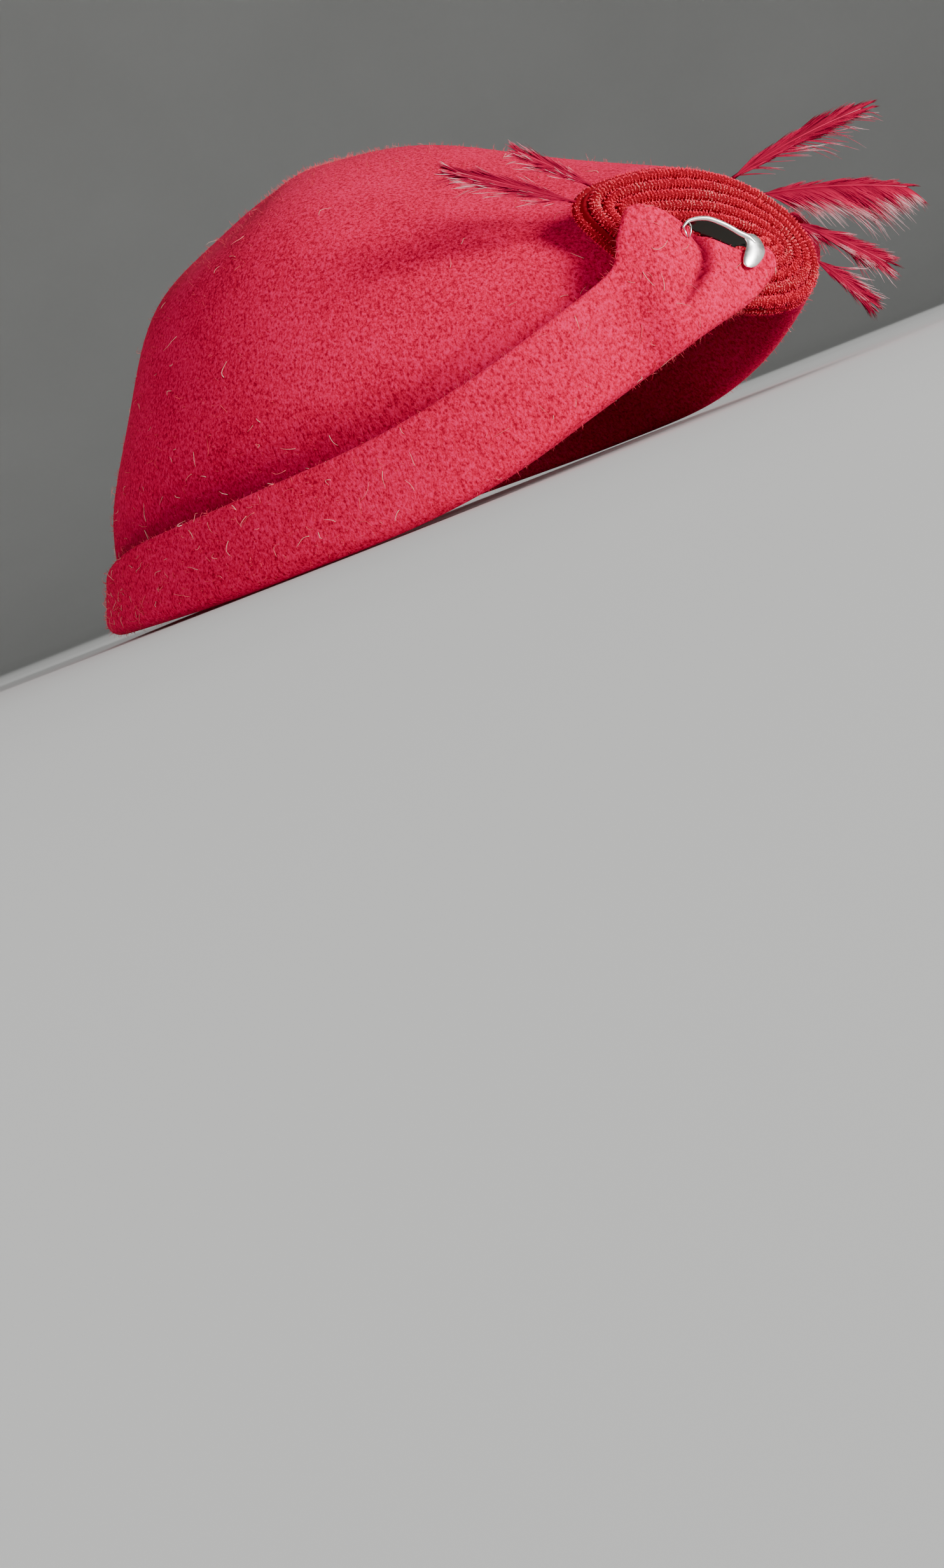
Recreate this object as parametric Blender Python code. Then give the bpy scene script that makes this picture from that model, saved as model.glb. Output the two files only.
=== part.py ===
"""A feathered felt hat for the back of the head: one blocked felt with a turned-up brim, an oval
cockade of wound velvet cord, a bright metal clip and six dyed feathers.

The hat stands on its brim at z = 0. +Z is up, the wearer faces -Y, and the wearer's left is +X.
An angle round the hat is 0 at the front, +90 at the wearer's left and 180 at the back.
"""

import math

import bmesh
import bpy
import numpy as np
from mathutils import Matrix, Vector
from mathutils.bvhtree import BVHTree

# Felt: one piece, blocked over an oval and turned up all round
HALF_LENGTH = 0.1085       # centre to the brim's outer face, front and back
HALF_WIDTH = 0.0915       # centre to the brim's outer face, at the sides
CROWN_HEIGHT = 0.0940     # floor to the middle of the felt at the apex
APEX_BACK = 0.008         # how far the apex lies behind the oval's centre
FELT = 0.0020             # thickness of the felt
FOLD_RADIUS = 0.0026      # of the turned edge, to the middle of the felt
FRONT_RISE = 0.0270       # how high the rim is lifted over the forehead
BRIM_HEIGHT = 0.0290      # of the turned-up brim at the sides
BRIM_BOW = 0.0012         # how far the brim swells outwards halfway up
DENT_DEPTH = 0.0046       # of the deepest soft dent in the crown
CLEAR = 0.0003            # gap between pieces that touch

# Cockade: rows of wound velvet cord sewn into a domed oval pad
PAD_HALF_LENGTH = 0.0322
PAD_HALF_WIDTH = 0.0180
PAD_THICKNESS = 0.0050
PAD_ROWS = 6
PAD_RIDGE = 0.0010        # how far a row of cord stands above the seam beside it
PAD_END_BEND = 0.0070     # how far the long ends curve back round the crown
PAD_SIDE_BEND = 0.0025    # how far the long sides do
PAD_TURN = -24.0          # degrees round the hat that the pad faces
PAD_TILT = 12.0           # degrees above the horizon that it faces
PAD_ROLL = -27.0          # degrees that its long axis dips towards the wearer's left
PAD_ASIDE = -0.0245       # the pad's middle from the oval's, towards the wearer's left
PAD_AHEAD = 0.1050        # and towards the front, before it is seated on the crown
PAD_RISE = 0.0383         # and from the floor

# Free end of the brim, which crosses the pad
TAB_RISE = 0.0010         # height above the pad that the tables' out columns multiply
CREASE_DEPTH = 0.0023     # of the pinch between its two lobes

# Metal clip over the free end's upper edge
CLIP_WIDTH = 0.0044
CLIP_THICKNESS = 0.0007

# Feathers
FEATHER_LENGTH = 0.0460   # longest, beyond the pad
FEATHER_WIDTH = 0.0095    # widest vane
QUILL = 0.0012

COLUMNS = 64
CROWN_ROWS = 15
FOLD_ROWS = 5             # an odd number leaves a flat strip along the bottom of the fold
CUFF_ROWS = 6
LEFT_END_COLUMN = 2       # the brim's plain end, hidden behind the pad
RIGHT_END_COLUMN = -6     # where the brim leaves the crown and becomes the free end
TAB_STEPS = (2, 3, 4)     # rows of faces before each station of the free end

# Crown from the rim to the apex. Reach is a share of the wall's half length or width at the rim,
# height a share of the crown's height above the rim.
PROFILE_COLUMNS = (
    "back_reach", "back_height",
    "side_reach", "side_height",
    "front_reach", "front_height",
)
PROFILE = (
    (1.000, 0.000, 1.000, 0.000, 1.000, 0.000),
    (0.970, 0.070, 0.955, 0.085, 0.990, 0.080),
    (0.990, 0.165, 0.935, 0.190, 0.980, 0.150),
    (0.928, 0.305, 0.935, 0.330, 0.965, 0.240),
    (0.745, 0.510, 0.840, 0.520, 0.870, 0.380),
    (0.600, 0.715, 0.680, 0.745, 0.710, 0.515),
    (0.448, 0.870, 0.495, 0.885, 0.520, 0.680),
    (0.258, 0.962, 0.283, 0.968, 0.300, 0.897),
    (0.110, 0.993, 0.120, 0.995, 0.120, 0.980),
    (0.000, 1.000, 0.000, 1.000, 0.000, 1.000),
)

# Rim and brim round the hat. Lift is a share of FRONT_RISE, tall of BRIM_HEIGHT, and stand is how
# far the brim's top stands off the crown, as a share of the fold's width.
BRIM_COLUMNS = ("angle", "lift", "tall", "stand")
BRIM = (
    (-180, 0.06, 0.40, 0.66),
    (-150, 0.07, 0.44, 0.68),
    (-120, 0.04, 0.66, 1.05),
    (-96, 0.00, 0.71, 1.35),
    (-82, 0.00, 0.72, 1.45),
    (-70, 0.01, 0.74, 1.55),
    (-56, 0.11, 0.78, 1.75),
    (-42, 0.34, 0.79, 2.00),
    (-33.75, 0.47, 0.81, 2.35),
    (-12, 0.86, 0.60, 1.20),
    (5, 1.00, 0.34, 0.80),
    (28, 0.84, 0.48, 1.05),
    (46, 0.50, 0.68, 1.40),
    (60, 0.21, 0.75, 1.50),
    (73, 0.03, 0.74, 1.50),
    (84, 0.00, 0.72, 1.45),
    (96, 0.00, 0.71, 1.35),
    (120, 0.04, 0.66, 1.05),
    (150, 0.07, 0.46, 0.68),
)

# Soft dents in the crown. Down is the share of the way from the apex to the rim, deep a share of
# DENT_DEPTH (minus stands proud), and the spreads are in degrees and shares.
DENT_COLUMNS = ("angle", "down", "deep", "angle_spread", "down_spread")
DENTS = (
    (-118, 0.27, 1.00, 27, 0.09),
    (-148, 0.40, -0.45, 26, 0.09),
    (-165, 0.70, 0.55, 34, 0.11),
    (-70, 0.46, -0.30, 34, 0.16),
    (-36, 0.52, 0.15, 18, 0.18),
    (60, 0.40, 0.45, 34, 0.15),
    (130, 0.55, -0.30, 30, 0.16),
)

# Free end of the brim, station by station, in the pad's frame: across runs from its lower edge (0)
# to its upper edge (1), along is a share of the pad's half length, up of its half width, and out
# of TAB_RISE.
TAB_COLUMNS = ("across", "along", "up", "out")
TAB_STATIONS = (
    (
        (0.00, -0.381, -1.62, -7.3),
        (0.18, -0.362, -1.71, -5.8),
        (0.35, -0.372, -1.67, -3.9),
        (0.50, -0.467, -1.44, -2.1),
        (0.75, -0.668, -0.95, -0.9),
        (1.00, -0.85, -0.46, -1.8),
    ),
    (
        (0.00, -0.113, -1.33, -2.3),
        (0.18, -0.113, -1.37, -0.6),
        (0.35, -0.19, -1.23, 1.1),
        (0.50, -0.324, -0.98, 2.3),
        (0.75, -0.582, -0.52, 2.2),
        (1.00, -0.821, -0.16, 0.2),
    ),
    (
        (0.0, 0.145, -1.06, 0.0),
        (0.1, 0.298, -0.79, 1.2),
        (0.2, 0.403, -0.54, 1.5),
        (0.3, 0.384, -0.29, 1.7),
        (0.4, 0.25, -0.20, 2.0),
        (0.5, 0.135, -0.42, 2.2),
        (0.6, -0.056, -0.34, 2.3),
        (0.7, -0.276, -0.22, 2.4),
        (0.8, -0.458, -0.10, 2.8),
        (0.9, -0.63, 0.01, 2.6),
        (1.0, -0.773, -0.02, 1.2),
    ),
)

# Pinched crease between the free end's lobes: where it lies along the pad at each height
CREASE_COLUMNS = ("up", "along", "deep")
CREASE = (
    (-1.30, -0.381, 0.0),
    (-1.00, -0.324, 0.6),
    (-0.73, -0.247, 1.0),
    (-0.48, -0.19, 1.0),
    (-0.22, -0.285, 0.7),
)
CREASE_SPREAD = 0.095     # share of the pad's half length

# Clip, station by station, in the pad's frame: shares as for the free end. Over is how much of the
# felt's thickness it clears, turn how far the strip's width has turned from facing out of the pad
# to lying flat on it, and wide a share of CLIP_WIDTH.
CLIP_COLUMNS = ("along", "up", "out", "over", "turn", "wide")
CLIP = (
    (-0.415, -0.36, 2.7, 1.0, 80, 0.22),
    (-0.391, -0.23, 2.9, 1.0, 60, 0.35),
    (-0.333, -0.07, 2.9, 0.6, 20, 0.60),
    (-0.199, 0.02, 2.5, 0.0, 0, 0.95),
    (-0.075, -0.03, 2.3, 0.0, 0, 1.00),
    (0.03, -0.14, 2.3, 0.2, 10, 0.90),
    (0.102, -0.24, 2.4, 0.8, 45, 0.70),
    (0.159, -0.37, 2.5, 1.0, 90, 0.85),
    (0.164, -0.55, 2.5, 1.0, 90, 1.00),
    (0.14, -0.72, 2.3, 1.0, 90, 0.80),
    (0.121, -0.81, 2.2, 1.0, 90, 0.35),
)

# Feathers round the pad. Place is where the quill leaves the pad's side, in degrees round the pad
# from its long axis, heading the way it points, long a share of FEATHER_LENGTH, wide of
# FEATHER_WIDTH, curve and rise how far the tip bends sideways and outwards as shares of its own
# length, and sink how far below the pad's face it starts, as a share of the pad's thickness.
FEATHER_COLUMNS = ("place", "heading", "long", "wide", "curve", "rise", "sink")
FEATHERS = (
    (74, 40, 1.00, 0.75, -0.10, 0.02, 0.60),
    (58, 20, 0.92, 0.90, -0.12, 0.02, 0.60),
    (36, -6, 0.56, 0.75, -0.12, 0.00, 0.60),
    (10, -24, 0.36, 0.70, -0.12, 0.00, 0.60),
    (161, 176, 0.66, 0.60, 0.04, 0.04, 0.60),
    (146, 162, 0.42, 0.45, 0.10, 0.06, 0.60),
)
FEATHER_STATIONS = 8
OUTLINE_COLUMNS = ("along", "wide")
FEATHER_OUTLINE = (
    (0.00, 0.14),
    (0.14, 0.24),
    (0.35, 0.72),
    (0.62, 1.00),
    (0.85, 0.90),
    (1.00, 0.34),
)

MATERIALS = {
    "felt": ((0.72, 0.012, 0.055, 1.0), 0.95, 0.0),
    "velvet": ((0.66, 0.008, 0.022, 1.0), 0.55, 0.0),
    "metal": ((0.86, 0.85, 0.82, 1.0), 0.12, 1.0),
    "feather": ((0.62, 0.010, 0.060, 1.0), 0.60, 0.0),
}


def hermite(knots, values, at):
    """A smooth curve through the values (Catmull-Rom on uneven knots), read at one place."""
    knots = np.asarray(knots, float)
    values = np.asarray(values, float)
    slopes = np.gradient(values, knots, axis=0)
    i = int(np.clip(np.searchsorted(knots, at, side="right") - 1, 0, len(knots) - 2))
    step = knots[i + 1] - knots[i]
    t = float(np.clip((at - knots[i]) / step, 0.0, 1.0))
    h00 = (1 + 2 * t) * (1 - t) ** 2
    h10 = t * (1 - t) ** 2
    h01 = t * t * (3 - 2 * t)
    h11 = t * t * (t - 1)
    return h00 * values[i] + h10 * step * slopes[i] + h01 * values[i + 1] + h11 * step * slopes[i + 1]


def wrapped(angle):
    """The same angle between -180 and 180 degrees."""
    return (angle + 180.0) % 360.0 - 180.0


def column(table, columns, name):
    """One named column of a table."""
    return np.array([row[columns.index(name)] for row in table], float)


def brim_at(angle, name):
    """One column of the brim's table at any angle, the table read as a closed ring."""
    angles = column(BRIM, BRIM_COLUMNS, "angle")
    values = column(BRIM, BRIM_COLUMNS, name)
    ring = np.concatenate([angles[-2:] - 360, angles, angles[:2] + 360])
    around = np.concatenate([values[-2:], values, values[:2]])
    return float(hermite(ring, around, wrapped(angle)))


def outward(angle):
    """The plan normal of the oval at an angle."""
    a = math.radians(angle)
    return Vector((math.sin(a) / HALF_WIDTH, -math.cos(a) / HALF_LENGTH, 0.0)).normalized()


def wall_foot_height(angle):
    """Height of the wall's foot, where the turned edge starts. The fold's flat strip lies at z = 0."""
    strip = FOLD_RADIUS * math.cos(math.pi / (2 * FOLD_ROWS))
    return FRONT_RISE * max(brim_at(angle, "lift"), 0.0) + strip + FELT / 2


def crown_point(angle, share):
    """The middle of the felt on the crown, share 0 at the rim and 1 at the apex, before the dents."""
    a = math.radians(angle)
    front = max(math.cos(a), 0.0) ** 2
    back = max(-math.cos(a), 0.0) ** 2
    side = math.sin(a) ** 2
    reaches = back * column(PROFILE, PROFILE_COLUMNS, "back_reach")
    reaches = reaches + side * column(PROFILE, PROFILE_COLUMNS, "side_reach")
    reaches = reaches + front * column(PROFILE, PROFILE_COLUMNS, "front_reach")
    heights = back * column(PROFILE, PROFILE_COLUMNS, "back_height")
    heights = heights + side * column(PROFILE, PROFILE_COLUMNS, "side_height")
    heights = heights + front * column(PROFILE, PROFILE_COLUMNS, "front_height")
    stations = np.linspace(0.0, 1.0, len(PROFILE))
    reach = float(hermite(stations, reaches, share))
    height = float(hermite(stations, heights, share))
    foot = wall_foot_height(angle)
    inset = 2 * FOLD_RADIUS + FELT / 2
    return Vector((
        (HALF_WIDTH - inset) * reach * math.sin(a),
        -(HALF_LENGTH - inset) * reach * math.cos(a) + APEX_BACK * (1.0 - reach),
        foot + (CROWN_HEIGHT - foot) * height,
    ))


def dent_at(angle, share):
    """How far the dents push the felt inwards at a place on the crown."""
    depth = 0.0
    for row in DENTS:
        dent = dict(zip(DENT_COLUMNS, row))
        round_hat = wrapped(angle - dent["angle"]) / dent["angle_spread"]
        down = ((1.0 - share) - dent["down"]) / dent["down_spread"]
        depth += dent["deep"] * math.exp(-round_hat ** 2 - down ** 2)
    return DENT_DEPTH * depth


def dented_point(angle, share):
    """The crown with its dents, pushed in along the surface's own normal."""
    step = 0.004
    here = crown_point(angle, share)
    if share > 1.0 - step:
        return here
    round_hat = crown_point(angle + 1.0, share) - here
    up = crown_point(angle, share + step) - here
    normal = round_hat.cross(up).normalized()
    return here - normal * dent_at(angle, share)


def brim_point(angle, row, meridian):
    """The middle of the felt on the turned edge and the brim. Row 1 is next to the wall's foot."""
    foot = meridian[0]
    out = outward(angle)
    if row <= FOLD_ROWS:
        turn = math.pi * row / FOLD_ROWS
        drop = Vector((0, 0, FOLD_RADIUS * math.sin(turn)))
        return foot + out * FOLD_RADIUS * (1 - math.cos(turn)) - drop
    share = (row - FOLD_ROWS) / CUFF_ROWS
    rise = BRIM_HEIGHT * brim_at(angle, "tall") - FOLD_RADIUS
    height = foot.z + rise * share
    stand = 2 * FOLD_RADIUS * (1 + share * (brim_at(angle, "stand") - 1))
    stand += BRIM_BOW * math.sin(math.pi * share)
    wall = wall_at_height(meridian, height)
    return Vector((wall.x, wall.y, height)) + out * stand


def wall_at_height(meridian, height):
    """Where the crown's wall stands at a height, read from its own meridian."""
    for low, high in zip(meridian, meridian[1:]):
        if low.z <= height <= high.z:
            return low.lerp(high, (height - low.z) / (high.z - low.z))
    return meridian[0]


def pad_frame():
    """The pad's place and its long, short and outward axes."""
    turn, tilt, roll = (math.radians(v) for v in (PAD_TURN, PAD_TILT, PAD_ROLL))
    out = Vector((math.sin(turn) * math.cos(tilt), -math.cos(turn) * math.cos(tilt), math.sin(tilt)))
    level = Vector((math.cos(turn), math.sin(turn), 0.0))
    steep = out.cross(level)
    along = level * math.cos(roll) + steep * math.sin(roll)
    return Vector((PAD_ASIDE, -PAD_AHEAD, PAD_RISE)), along, out.cross(along), out


def pad_face(along, up):
    """Height of the pad's domed face at shares of its half length and half width."""
    return -PAD_END_BEND * along ** 2 - PAD_SIDE_BEND * up ** 2


def from_pad(frame, along, up, out):
    """A point in the pad's frame, its first two coordinates as shares and the last in metres."""
    place, long_axis, short_axis, normal = frame
    return place + long_axis * along * PAD_HALF_LENGTH + short_axis * up * PAD_HALF_WIDTH + normal * out


def tab_point(frame, station, across):
    """The free end's middle surface at one station of its table."""
    table = TAB_STATIONS[station]
    knots = column(table, TAB_COLUMNS, "across")
    along = float(hermite(knots, column(table, TAB_COLUMNS, "along"), across))
    up = float(hermite(knots, column(table, TAB_COLUMNS, "up"), across))
    out = float(hermite(knots, column(table, TAB_COLUMNS, "out"), across))
    heights = column(CREASE, CREASE_COLUMNS, "up")
    middle = float(hermite(heights, column(CREASE, CREASE_COLUMNS, "along"), up))
    deep = float(hermite(heights, column(CREASE, CREASE_COLUMNS, "deep"), up))
    pinch = deep * math.exp(-((along - middle) / CREASE_SPREAD) ** 2)
    height = FELT / 2 + CLEAR + TAB_RISE * out - CREASE_DEPTH * pinch
    return from_pad(frame, along, up, height)


def add_object(name, points, faces, material):
    """A named mesh object from points and faces, with its own material."""
    mesh = bpy.data.meshes.new(name)
    mesh.from_pydata([tuple(p) for p in points], [], faces)
    mesh.validate()
    colour, roughness, metallic = MATERIALS[material]
    finish = bpy.data.materials.get(material) or bpy.data.materials.new(material)
    finish.use_nodes = True
    shader = finish.node_tree.nodes["Principled BSDF"]
    shader.inputs["Base Color"].default_value = colour
    shader.inputs["Roughness"].default_value = roughness
    shader.inputs["Metallic"].default_value = metallic
    mesh.materials.append(finish)
    piece = bpy.data.objects.new(name, mesh)
    bpy.context.scene.collection.objects.link(piece)
    mesh.shade_smooth()
    return piece


def loft(rings):
    """Faces between closed rings of equal length, with one face over each end."""
    points = [p for ring in rings for p in ring]
    size = len(rings[0])
    faces = []
    for i in range(len(rings) - 1):
        for j in range(size):
            k = (j + 1) % size
            faces.append((i * size + j, i * size + k, (i + 1) * size + k, (i + 1) * size + j))
    faces.append(tuple(range(size))[::-1])
    faces.append(tuple((len(rings) - 1) * size + j for j in range(size)))
    return points, faces


def face_outwards(piece):
    """Turns a closed piece's faces to point out."""
    work = bmesh.new()
    work.from_mesh(piece.data)
    bmesh.ops.recalc_face_normals(work, faces=work.faces)
    work.to_mesh(piece.data)
    work.free()


def crown_sheet():
    """Points and faces of the crown alone, as a sheet through the middle of the felt."""
    angles = [wrapped(360.0 * c / COLUMNS) for c in range(COLUMNS)]
    meridians = [[dented_point(a, r / CROWN_ROWS) for r in range(CROWN_ROWS)] for a in angles]
    points = [p for meridian in meridians for p in meridian]
    points.append(crown_point(0.0, 1.0))
    faces = []
    for c in range(COLUMNS):
        d = (c + 1) % COLUMNS
        for r in range(CROWN_ROWS - 1):
            near, far = c * CROWN_ROWS + r, d * CROWN_ROWS + r
            faces.append((near, far, far + 1, near + 1))
        faces.append(((c + 1) * CROWN_ROWS - 1, (d + 1) * CROWN_ROWS - 1, len(points) - 1))
    return angles, meridians, points, faces


def felt_sheet(frame):
    """The whole felt as one sheet: crown, turned edge, brim and the brim's free end."""
    angles, meridians, points, faces = crown_sheet()
    rows = FOLD_ROWS + CUFF_ROWS
    columns = list(range(LEFT_END_COLUMN, COLUMNS + RIGHT_END_COLUMN + 1))
    strip = []
    for c in columns:
        line = [c * CROWN_ROWS]
        for row in range(1, rows + 1):
            line.append(len(points))
            points.append(brim_point(angles[c], row, meridians[c]))
        strip.append(line)
    for near, far in zip(strip, strip[1:]):
        for row in range(rows):
            faces.append((near[row], near[row + 1], far[row + 1], far[row]))
    before, last = strip[-2][1:], strip[-1][1:]
    controls = [[points[i] for i in before], [points[i] for i in last]]
    for station in range(len(TAB_STATIONS)):
        controls.append([tab_point(frame, station, row / (rows - 1)) for row in range(rows)])
    knots = [0.0]
    for near, far in zip(controls, controls[1:]):
        knots.append(knots[-1] + (Vector(near[rows // 2]) - Vector(far[rows // 2])).length)
    values = np.array([[tuple(p) for p in line] for line in controls])
    edge = last
    for i, steps in enumerate(TAB_STEPS, 1):
        for step in range(1, steps + 1):
            at = knots[i] + (knots[i + 1] - knots[i]) * step / steps
            line = hermite(knots, values, at)
            new = list(range(len(points), len(points) + rows))
            points.extend(Vector(p) for p in line)
            for row in range(rows - 1):
                faces.append((edge[row], edge[row + 1], new[row + 1], new[row]))
            edge = new
    return points, faces


def thickened(points, faces, thickness):
    """A sheet given an even thickness about its middle, closed round all its edges."""
    work = bmesh.new()
    verts = [work.verts.new(p) for p in points]
    for face in faces:
        work.faces.new([verts[i] for i in face])
    work.normal_update()
    offsets = [v.normal * (thickness / 2) * min(v.calc_shell_factor(), 1.25) for v in work.verts]
    work.verts.index_update()
    open_loops = [e.link_loops[0] for e in work.edges if e.is_boundary]
    edges = [(loop.vert.index, loop.link_loop_next.vert.index) for loop in open_loops]
    work.free()
    count = len(points)
    solid = [Vector(p) + d for p, d in zip(points, offsets)]
    solid += [Vector(p) - d for p, d in zip(points, offsets)]
    shell = [tuple(face) for face in faces]
    shell += [tuple(i + count for i in reversed(face)) for face in faces]
    shell += [(b, a, a + count, b + count) for a, b in edges]
    return solid, shell


def make_felt(frame):
    """The hat's felt in one piece."""
    points, faces = felt_sheet(frame)
    felt = add_object("felt_body", *thickened(points, faces, FELT), "felt")
    face_outwards(felt)
    return felt


def seated_frame():
    """The pad's frame, moved along its outward axis until the pad's back just clears the crown."""
    place, along, short, out = pad_frame()
    _, _, points, faces = crown_sheet()
    crown = BVHTree.FromPolygons([tuple(p) for p in points], faces)
    least = None
    for ring in range(1, 17):
        for turn in range(48):
            a = 2 * math.pi * turn / 48
            share = ring / 16
            x, y = share * math.cos(a), share * math.sin(a)
            back = from_pad((place, along, short, out), x, y, pad_face(x, y) - PAD_THICKNESS)
            hit, normal, _, _ = crown.ray_cast(back + out * HALF_LENGTH, -out)
            if hit is not None:
                need = (FELT / 2 + 2 * CLEAR) / max(abs(normal.dot(out)), 0.5)
                spare = (back - hit).dot(out) - need
                least = spare if least is None else min(least, spare)
    return place - out * least, along, short, out


def make_pad(frame):
    """The oval cockade: rows of cord as ridges over a domed pad, in one body."""
    segments = 44

    def ring_at(inset, out):
        ring = []
        for j in range(segments):
            a = 2 * math.pi * j / segments
            x = (1 - inset / PAD_HALF_LENGTH) * math.cos(a)
            y = (1 - inset / PAD_HALF_WIDTH) * math.sin(a)
            ring.append(from_pad(frame, x, y, pad_face(x, y) + out))
        return ring

    pitch = PAD_HALF_WIDTH / PAD_ROWS
    rings = [ring_at(pitch * (PAD_ROWS - 0.4), -PAD_THICKNESS)]
    for share in (0.70, 0.45, 0.22, 0.08):
        rings.append(ring_at(PAD_HALF_WIDTH * share, -PAD_THICKNESS))
    rings.append(ring_at(pitch * 0.12, -PAD_THICKNESS * 0.82))
    rings.append(ring_at(0.0, -PAD_THICKNESS * 0.5))
    rings.append(ring_at(pitch * 0.12, -PAD_THICKNESS * 0.18))
    for row in range(PAD_ROWS):
        rings.append(ring_at(pitch * (row + 0.5), 0.0))
        rings.append(ring_at(pitch * (row + 0.96), -PAD_RIDGE))
    points, faces = loft(rings)
    pad = add_object("cord_cockade", points, faces, "velvet")
    face_outwards(pad)
    return pad


def make_clip(frame):
    """The clip: one strip that arches over the free end's upper edge and lies flat on its face."""
    rows = [dict(zip(CLIP_COLUMNS, row)) for row in CLIP]
    _, _, _, out = frame
    path = []
    for row in rows:
        height = FELT / 2 + CLEAR + TAB_RISE * row["out"]
        height += row["over"] * (FELT / 2 + CLEAR + CLIP_THICKNESS / 2)
        path.append(from_pad(frame, row["along"], row["up"], height))
    rings = []
    for i, row in enumerate(rows):
        ahead = (path[min(i + 1, len(path) - 1)] - path[max(i - 1, 0)]).normalized()
        flat = out.cross(ahead).normalized()
        turn = math.radians(row["turn"])
        width = (out - ahead * out.dot(ahead)).normalized() * math.cos(turn) + flat * math.sin(turn)
        thick = ahead.cross(width).normalized() * CLIP_THICKNESS / 2
        half = width * CLIP_WIDTH / 2 * row["wide"]
        face = [path[i] + half + thick, path[i] - half + thick]
        rings.append(face + [path[i] - half - thick, path[i] + half - thick])
    points, faces = loft(rings)
    clip = add_object("metal_clip", points, faces, "metal")
    face_outwards(clip)
    return clip


def feather_line(frame, row, crown):
    """Points along a feather's quill, from the pad's side to the tip, held clear of the felt."""
    place, heading = math.radians(row["place"]), math.radians(row["heading"])
    clear = CLEAR + QUILL / 2
    along = math.cos(place) * (1 + clear / PAD_HALF_LENGTH)
    up = math.sin(place) * (1 + clear / PAD_HALF_WIDTH)
    _, long_axis, short_axis, out = frame
    start = from_pad(frame, along, up, pad_face(along, up) - PAD_THICKNESS * row["sink"])
    ahead = long_axis * math.cos(heading) + short_axis * math.sin(heading)
    side = out.cross(ahead)
    length = FEATHER_LENGTH * row["long"]
    line = []
    for i in range(FEATHER_STATIONS):
        t = i / (FEATHER_STATIONS - 1)
        point = start + ahead * length * t + side * length * row["curve"] * t * t
        point = point + out * length * (row["rise"] * t * t)
        near, normal, _, _ = crown.find_nearest(point)
        height = (point - near).dot(normal)
        need = FELT / 2 + CLEAR + QUILL
        if i and height < need:
            point = point + normal * (need - height)
        line.append(point)
    return line


def make_feather(number, frame, row, crown):
    """One feather: a tapered vane, thickest along its quill."""
    line = feather_line(frame, row, crown)
    reached = column(FEATHER_OUTLINE, OUTLINE_COLUMNS, "along")
    widths = column(FEATHER_OUTLINE, OUTLINE_COLUMNS, "wide")
    _, _, _, out = frame
    rings = []
    for i, point in enumerate(line):
        t = i / (FEATHER_STATIONS - 1)
        half = FEATHER_WIDTH * row["wide"] / 2 * float(hermite(reached, widths, t))
        thick = QUILL / 2 * (1 - 0.55 * t)
        ahead = line[min(i + 1, len(line) - 1)] - line[max(i - 1, 0)]
        across = out.cross(ahead).normalized()
        up = ahead.cross(across).normalized()
        rings.append([point + across * half, point + up * thick, point - across * half, point - up * thick])
    points, faces = loft(rings)
    feather = add_object(f"feather_{number}", points, faces, "feather")
    face_outwards(feather)
    return feather


def centred(pieces):
    """Moves all pieces together so that the origin is under the middle of the whole."""
    points = [v.co for piece in pieces for v in piece.data.vertices]
    middle = [(max(p[i] for p in points) + min(p[i] for p in points)) / 2 for i in range(2)]
    move = Matrix.Translation((-middle[0], -middle[1], 0.0))
    for piece in pieces:
        piece.data.transform(move)


def main():
    for old in list(bpy.data.objects):
        bpy.data.objects.remove(old)
    frame = seated_frame()
    _, _, points, faces = crown_sheet()
    crown = BVHTree.FromPolygons([tuple(p) for p in points], faces)
    pieces = [make_felt(frame), make_pad(frame), make_clip(frame)]
    for number, row in enumerate(FEATHERS, 1):
        pieces.append(make_feather(number, frame, dict(zip(FEATHER_COLUMNS, row)), crown))
    centred(pieces)


main()
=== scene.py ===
"""Looks of a red felt hat: blocked felt with a turned-up brim, an oval cockade of wound velvet
cord, a bright metal clip and dyed feathers. It stands on its brim on a pale floor.
"""

import math

import bpy
import numpy as np
from mathutils import Matrix, Vector
from mathutils.bvhtree import BVHTree


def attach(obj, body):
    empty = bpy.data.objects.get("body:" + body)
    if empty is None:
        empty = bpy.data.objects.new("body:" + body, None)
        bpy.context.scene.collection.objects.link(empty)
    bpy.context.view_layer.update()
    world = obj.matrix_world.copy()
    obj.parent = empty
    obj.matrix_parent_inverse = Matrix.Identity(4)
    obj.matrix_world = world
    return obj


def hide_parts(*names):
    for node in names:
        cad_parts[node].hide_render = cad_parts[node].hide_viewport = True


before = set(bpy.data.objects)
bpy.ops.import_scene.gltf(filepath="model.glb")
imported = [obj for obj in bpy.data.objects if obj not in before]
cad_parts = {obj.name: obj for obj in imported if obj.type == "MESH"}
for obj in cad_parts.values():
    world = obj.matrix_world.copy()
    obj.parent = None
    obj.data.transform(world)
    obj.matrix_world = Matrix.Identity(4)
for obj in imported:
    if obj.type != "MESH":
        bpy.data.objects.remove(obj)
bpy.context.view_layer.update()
bpy.ops.object.select_all(action="DESELECT")
scene = bpy.context.scene


# Camera. It looks at the hat's right side from 65 cm away, turned and rolled as the picture is,
# and stays just above the floor.
look_at = Vector((0.0, 0.0088, 0.033))
look_from = 0.65
azimuth = math.radians(-57.0)
elevation = math.radians(-2.5)
roll = math.radians(21.5)
focal_length_in_pixels = 3867.5
picture_wide = 1484
picture_tall = 2465
look_at_across = 675  # where the hat's middle lies in the picture, in pixels
look_at_down = 604
sensor_wide = 36.0

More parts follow.
